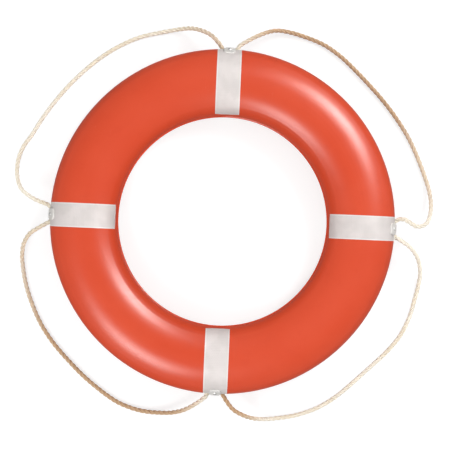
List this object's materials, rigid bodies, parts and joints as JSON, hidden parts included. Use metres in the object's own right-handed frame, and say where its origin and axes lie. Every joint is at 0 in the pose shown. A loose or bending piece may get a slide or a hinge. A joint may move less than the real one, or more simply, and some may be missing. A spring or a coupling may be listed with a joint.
{
  "type": "ring lifebuoy",
  "caption": "Orange ring-shaped life float with a foam core, pale reflective bands and a grab line held at the rim in free loops.",
  "frame": {"origin": "on the ring's axis, at the plane that its rear face rests on", "axes": "+Z along the ring's axis out of the front face, +Y towards the north anchor, +X towards the east anchor"},
  "size_m": [0.8874, 0.8335, 0.1],
  "materials": {
    "shell": "satin",
    "foam": "matte",
    "plug": "satin",
    "tape": "satin",
    "anchor": "satin",
    "steel": "satin",
    "line": "matte"
  },
  "bodies": {
    "ring": {"front_shell": "shell", "rear_shell": "shell", "foam_core": "foam", "filler_plug": "plug", "vent_plug": "plug", "front_tape_north": "tape", "front_tape_east": "tape", "front_tape_south": "tape", "front_tape_west": "tape", "rear_tape_north": "tape", "rear_tape_east": "tape", "rear_tape_south": "tape", "rear_tape_west": "tape", "line_anchor_north": "anchor", "line_anchor_east": "anchor", "line_anchor_south": "anchor", "line_anchor_west": "anchor", "anchor_screws": "steel", "line_bend_north": "line", "line_bend_east": "line", "line_bend_south": "line", "line_bend_west": "line"},
    "loop_northeast": {"line_loop_northeast": "line"},
    "loop_southeast": {"line_loop_southeast": "line"},
    "loop_southwest": {"line_loop_southwest": "line"},
    "loop_northwest": {"line_loop_northwest": "line"}
  },
  "joints": [
    {"name": "swing_northeast", "type": "hinge", "parent": "ring", "child": "loop_northeast", "pos_m": [0.19392, 0.19392, 0.05], "axis": [0.7071, -0.7071, 0], "range_deg": [0, 90]},
    {"name": "swing_southeast", "type": "hinge", "parent": "ring", "child": "loop_southeast", "pos_m": [0.19392, -0.19392, 0.05], "axis": [-0.7071, -0.7071, 0], "range_deg": [0, 90]},
    {"name": "swing_southwest", "type": "hinge", "parent": "ring", "child": "loop_southwest", "pos_m": [-0.19392, -0.19392, 0.05], "axis": [-0.7071, 0.7071, 0], "range_deg": [0, 90]},
    {"name": "swing_northwest", "type": "hinge", "parent": "ring", "child": "loop_northwest", "pos_m": [-0.19392, 0.19392, 0.05], "axis": [0.7071, 0.7071, 0], "range_deg": [0, 90]}
  ]
}
